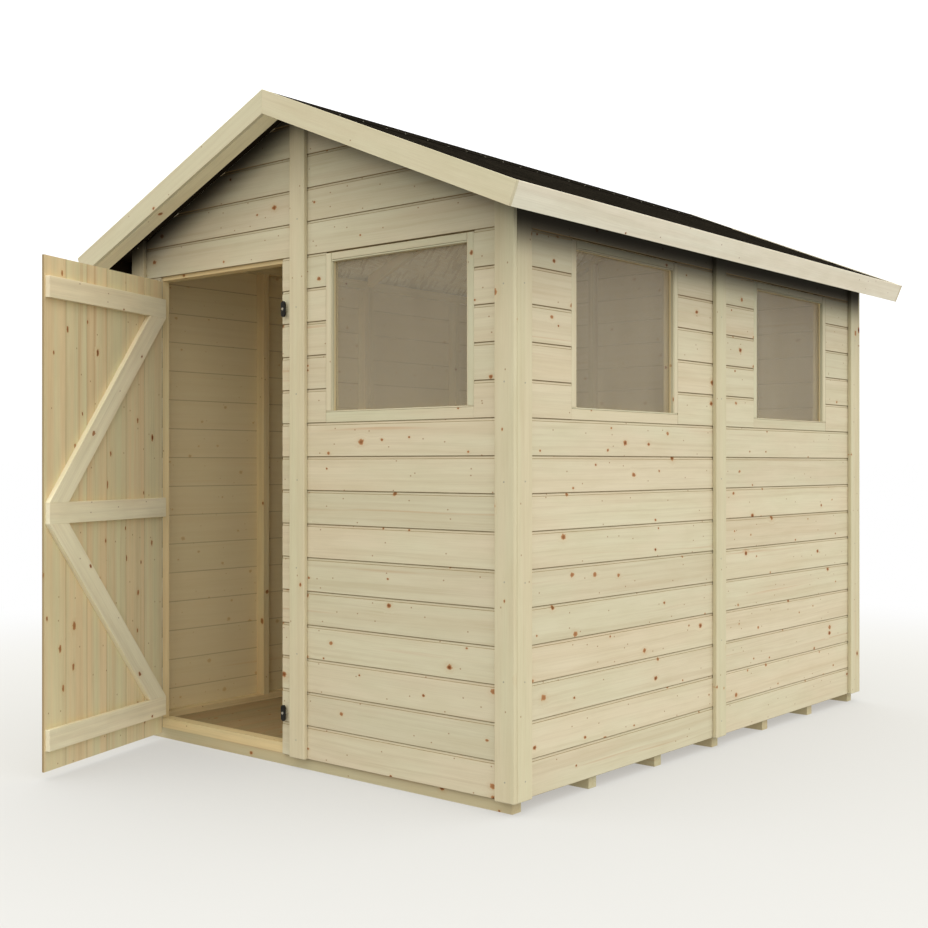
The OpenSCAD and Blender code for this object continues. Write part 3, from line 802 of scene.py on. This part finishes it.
def build_roof_edges():
    """Bargeboards and verge rails up the gables, boards and rails along the
    eaves. Each verge rail starts its own easing behind its bargeboard."""
    roof_y = VERGE_Y - BARGE_T
    rail_y = roof_y - EDGE_RAIL_W
    board_end = SLOPE - BARGE_T - SEAT
    axes = (DOWN_SLOPE, OFF_SLOPE, Y)
    sharp, eaves_ease, rail_ease, verge_ease = 0.0006, 0.0008, 0.0018, 0.0022
    for hand, flip in BOTH_SIDES.items():
        barge, verge = Piece(), Piece()
        for end, turn in BOTH_ENDS.items():
            where = turn @ flip
            outline = [(0.0002, roof_z(0, BARGE_LOW)), on_slope(SLOPE, BARGE_LOW),
                       on_slope(SLOPE, BARGE_TOP), (0.0002, roof_z(0, BARGE_TOP))]
            slab(barge, outline, -VERGE_Y, -roof_y, axes, f"barge {hand}{end}", sharp, where)
            outline = [(0.0002, roof_z(0, BARGE_LOW)), on_slope(board_end, BARGE_LOW),
                       on_slope(board_end, -SEAT), (0.0002, roof_z(0, -SEAT))]
            slab(verge, outline, -roof_y + verge_ease, -rail_y, (DOWN_SLOPE, Y, OFF_SLOPE),
                 f"verge {hand}{end}", verge_ease, where)
        barge.make(f"{hand}_barge_boards", BARGE, (f"{hand}_bargeboards",), "trim")
        verge.make(f"{hand}_verge_bars", VERGE, (f"{hand}_verge_rails",), "trim")
    eaves, rails = Piece(), Piece()
    back = SLOPE - BARGE_T
    for hand, flip in BOTH_SIDES.items():
        outline = [on_slope(back, BARGE_LOW), on_slope(SLOPE, BARGE_LOW),
                   on_slope(SLOPE, BARGE_TOP), on_slope(back, BARGE_TOP)]
        slab(eaves, outline, -roof_y, roof_y, (Y, OFF_SLOPE, DOWN_SLOPE), f"eaves {hand}",
             eaves_ease, flip)
        inner = board_end - EAVES_RAIL_W
        outline = [on_slope(inner, BARGE_LOW), on_slope(board_end, BARGE_LOW),
                   on_slope(board_end, -SEAT), on_slope(inner, -SEAT)]
        slab(rails, outline, -rail_y, rail_y, (Y, OFF_SLOPE, DOWN_SLOPE),
             f"eaves rail {hand}", rail_ease, flip)
    eaves.make("eaves_facing", FACING_PAINTED_LIGHT, ("eaves_boards",), "trim")
    # The eaves rails take the roof sheet's material, and with it its painted shade outside the walls
    rails.make("eaves_bars", ROOF_SHEET, ("eaves_rails",), "trim")


def build_felt():
    """A sheet on each slope, a capping over the ridge and clout nails."""
    roof_y = VERGE_Y - BARGE_T
    top = ROOF_T + FELT_T
    cap_down, cap_t = 0.24, 0.0022
    felt_ease, nail_margin = 0.0008, 0.02
    first_nail, nail_count = -roof_y + 0.03, 26
    board_end = SLOPE - BARGE_T - SEAT
    nails = Piece()
    for hand, flip in BOTH_SIDES.items():
        sheet = Piece()
        outline = [(0, roof_z(0, ROOF_T)), on_slope(board_end, ROOF_T),
                   on_slope(board_end, top), (0, roof_z(0, top))]
        slab(sheet, outline, -roof_y, roof_y, (Y, DOWN_SLOPE, OFF_SLOPE), f"felt {hand}", felt_ease, flip)
        outline = [(0, roof_z(0, top)), on_slope(cap_down, top),
                   on_slope(cap_down, top + cap_t), (0, roof_z(0, top + cap_t))]
        slab(sheet, outline, -roof_y, roof_y, (Y, DOWN_SLOPE, OFF_SLOPE), f"cap {hand}", felt_ease, flip)
        sheet.make(f"{hand}_felt_sheets", FELT, (f"{hand}_roof_felt",), "felt")
        for down, lift in ((board_end - nail_margin, top), (cap_down - 0.018, top + cap_t)):
            x, z = on_slope(down, lift)
            row = [flip @ Vector((x, first_nail - 2 * first_nail * k / (nail_count - 1), z))
                   for k in range(nail_count)]
            nail_row(nails, row, turned(flip, OFF_SLOPE))
    nails.make("felt_nails", NAIL, slot="screw")


# ---- Floor ----


def build_deck():
    low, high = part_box("floor_deck")
    count = round((high.x - low.x) / BOARD_H)
    width = (high.x - low.x) / count
    half_gap, ease = 0.0003, 0.0012
    piece = Piece()
    for k in range(count):
        x = low.x + k * width
        bar(piece, (x + half_gap, low.y, low.z), (x + width - half_gap, high.y, high.z), 1,
            f"deck {k}", ease)
    piece.make("deck_boards", DECK, ("floor_deck",), "floor_boards")


# ---- Door ----


def build_door_boards():
    boards = Piece()

    def place(a, out, across):
        return DOOR_SWING @ Vector((DOOR_LEFT + across, DOOR_FRONT - out, a))

    for k in range(DOOR_BOARDS):
        shiplap(boards, place, DOOR_LOW, DOOR_HIGH, k * DOOR_COVER, f"door {k}", DOOR_COVER,
                top=DOOR_W, first=k == 0)
    boards.make("door_leaf", DOOR, ("door_boards",), "door_wood", "door")


def build_door_bracing():
    """Three ledges, and a brace from each outer ledge to the middle one."""
    back = DOOR_FRONT + DOOR_T
    left, right = DOOR_LEFT, DOOR_LEFT + DOOR_W - LEDGE_INSET
    bottom, middle, top = (DOOR_LOW + up for up in LEDGE_UPS)
    ledges, braces = Piece(), Piece()
    for k, z in enumerate((bottom, middle, top)):
        bar(ledges, (left, back, z), (right, back + LEDGE_T, z + LEDGE_W), 0, f"ledge {k}",
            BRACING_EASE, DOOR_SWING)
    ledges.make("door_ledge_bars", BRACING, ("door_ledges",), "door_wood", "door")

    for k, (z0, z1) in enumerate(((top, middle + LEDGE_W), (bottom + LEDGE_W, middle))):
        span = LEDGE_W / math.sin(math.atan2(abs(z1 - z0), right - left))
        along = Vector((right - left - span, 0, z1 - z0)).normalized()
        across = Vector((-along.z, 0, along.x))
        outline = [(left, z0), (left + span, z0), (right, z1), (right - span, z1)]
        slab(braces, outline, back, back + LEDGE_T, (along, across, Y), f"brace {k}",
             BRACING_EASE, DOOR_SWING)
    braces.make("door_brace_bars", BRACING, ("door_braces",), "door_wood", "door")


def build_door_fixings():
    """Two nails through each board into each ledge, and the strap screws."""
    nails, screws = Piece(), Piece()
    outward = turned(DOOR_SWING, -Y)
    nail_edge, nail_shift = 0.02, 0.012
    for up in LEDGE_UPS:
        for k in range(DOOR_BOARDS):
            for rise, shift in ((nail_edge, nail_shift), (LEDGE_W - nail_edge, -nail_shift)):
                x = DOOR_LEFT + (k + 0.5) * DOOR_COVER + shift
                spot = DOOR_SWING @ Vector((x, DOOR_FRONT, DOOR_LOW + up + rise))
                head(nails, spot, outward, 0.0026, 0.0004)
    nails.make("door_nails", NAIL, slot="screw", body="door")

    first_screw, screw_step, screw_shift = 0.035, 0.056, 0.006
    for z in HINGE_HEIGHTS:
        for k in range(5):
            x = HINGE.x + first_screw + screw_step * k
            shift = screw_shift if k % 2 else -screw_shift
            spot = DOOR_SWING @ Vector((x, DOOR_FRONT - STRAP_T, z + shift))
            head(screws, spot, outward, 0.004, 0.0012)
    screws.make("strap_screws", IRON, slot="black_iron", body="door")


def build_plate_screws():
    """Two columns of screws in the wall plate of each hinge."""
    columns, rises = (-0.031, -0.014), (-0.03, 0.03)
    screws = Piece()
    for z in HINGE_HEIGHTS:
        for rise in rises:
            for x in columns:
                head(screws, Vector((HINGE.x + x, -HALF_L - STRAP_T, z + rise)), -Y, 0.0035, 0.001)
    screws.make("plate_screws", IRON, slot="black_iron")


# ---- CAD pieces that stay ----


def finish_cad():
    looks = {
        "floor_bearers": (BEARERS, "framing"),
        "side_wall_studs": (FRAMING["z"], "framing"),
        "side_wall_rails": (FRAMING["y"], "framing"),
        "gable_wall_studs": (FRAMING["z"], "framing"),
        "gable_wall_rails": (FRAMING["x"], "framing"),
        "gable_slope_rails": (FRAMING["slope"], "framing"),
        "rafters": (FRAMING["slope"], "framing"),
        "door_head": (FRAMING["x"], "framing"),
        "window_panes": (PANE, "pane"),
        "left_roof_boards": (ROOF_SHEET, "roof_boards"),
        "right_roof_boards": (ROOF_SHEET, "roof_boards"),
        "hinge_plates": (IRON, "black_iron"),
        "hinge_straps": (IRON, "black_iron"),
        "upper_turn_button": (IRON, "black_iron"),
        "lower_turn_button": (IRON, "black_iron"),
        "button_screws": (SCREW, "screw"),
    }
    for name, (material, slot) in looks.items():
        obj = frame["nodes"][name]
        obj.data.materials.clear()
        obj.data.materials.append(material)


# ---- Studio ----

BELOW_HORIZON, ZENITH_EXTRA = 0.46, 1.1
# Direction, the cosine where the lobe begins, and the light it adds at its middle
LOBES = (((0.99, -0.12, 0.02), 0.2, 0.12), ((-0.80, -0.60, 0.0), 0.45, -0.25))
FLOOR_GLOW, FLOOR_COLOUR = 0.46, srgb(196, 195, 189)


def build_stage():
    """A pale floor that fades to white. It takes shadows but doesn't light
    the object, which the lower half of the dome does."""
    s = Shader("studio_floor")
    x, y, _ = s.split(s.place())
    away = s.vector("LENGTH", s.join(x, y, 0.0))
    plain, white = 2.2, 5.2
    glow = s.tree.nodes.new("ShaderNodeEmission")
    blend = s.tree.nodes.new("ShaderNodeMixShader")
    s.put(glow.inputs["Color"], s.mix(s.step(away, plain, white), srgb(245, 244, 241), srgb(255, 255, 255)))
    s.put(blend.inputs[0], s.step(away, plain, white, FLOOR_GLOW, 1.0))
    s.link(s.bsdf.outputs[0], blend.inputs[1])
    s.link(glow.outputs[0], blend.inputs[2])
    s.link(blend.outputs[0], s.out.inputs[0])
    s.set(Base_Color=FLOOR_COLOUR, Roughness=0.95)
    s.bsdf.inputs["Specular IOR Level"].default_value = 0.0
    reach, below = 90, -0.0005
    mesh = bpy.data.meshes.new("studio_floor")
    mesh.from_pydata([(-reach, -reach, below), (reach, -reach, below), (reach, reach, below),
                      (-reach, reach, below)], [], [(0, 1, 2, 3)])
    mesh.materials.append(s.material)
    floor = bpy.data.objects.new("studio_floor", mesh)
    floor.visible_diffuse = False
    bpy.context.scene.collection.objects.link(floor)


def build_dome():
    """White at the horizon, brighter overhead and from the right, dimmer from
    the left and from below."""
    world = bpy.data.worlds.new("studio")
    world.use_nodes = True
    nodes, links = world.node_tree.nodes, world.node_tree.links
    towards = nodes.new("ShaderNodeTexCoord").outputs["Generated"]

    def facing(direction, low, high, to_low, to_high):
        dot = nodes.new("ShaderNodeVectorMath")
        dot.operation = "DOT_PRODUCT"
        links.new(towards, dot.inputs[0])
        dot.inputs[1].default_value = direction
        ramp = nodes.new("ShaderNodeMapRange")
        for socket, value in zip(ramp.inputs, (0.0, low, high, to_low, to_high)):
            socket.default_value = value
        links.new(dot.outputs["Value"], ramp.inputs[0])
        return ramp

    parts = [facing((0, 0, 1), -0.10, -0.02, BELOW_HORIZON, 1.0),
             facing((0, 0, 1), 0.0, 1.0, 0.0, ZENITH_EXTRA)]
    for direction, low, extra in LOBES:
        parts.append(facing(direction, low, 1.0, 0.0, extra))
        parts[-1].interpolation_type = "SMOOTHSTEP"
    total = parts[0].outputs[0]
    for part in parts[1:]:
        add = nodes.new("ShaderNodeMath")
        links.new(total, add.inputs[0])
        links.new(part.outputs[0], add.inputs[1])
        total = add.outputs[0]
    links.new(total, nodes["Background"].inputs["Strength"])
    nodes["Background"].inputs["Color"].default_value = (1, 1, 1, 1)
    bpy.context.scene.world = world
    bpy.context.scene.view_settings.view_transform = "Standard"


def build_camera():
    """A level 50 mm lens at the photo's angle, as found from the boards' lines."""
    data = bpy.data.cameras.new("camera")
    data.lens, data.sensor_width = 50, 36
    camera = bpy.data.objects.new("camera", data)
    camera.location = (3.2001, -4.1526, 1.0217)
    camera.rotation_euler = (math.radians(90), 0, math.radians(40.08))
    bpy.context.scene.collection.objects.link(camera)
    bpy.context.scene.camera = camera


build_walls()
build_strips()
build_windows()
build_roof_edges()
build_felt()
build_deck()
build_door_boards()
build_door_bracing()
build_door_fixings()
build_plate_screws()
finish_cad()
build_stage()
build_dome()
build_camera()
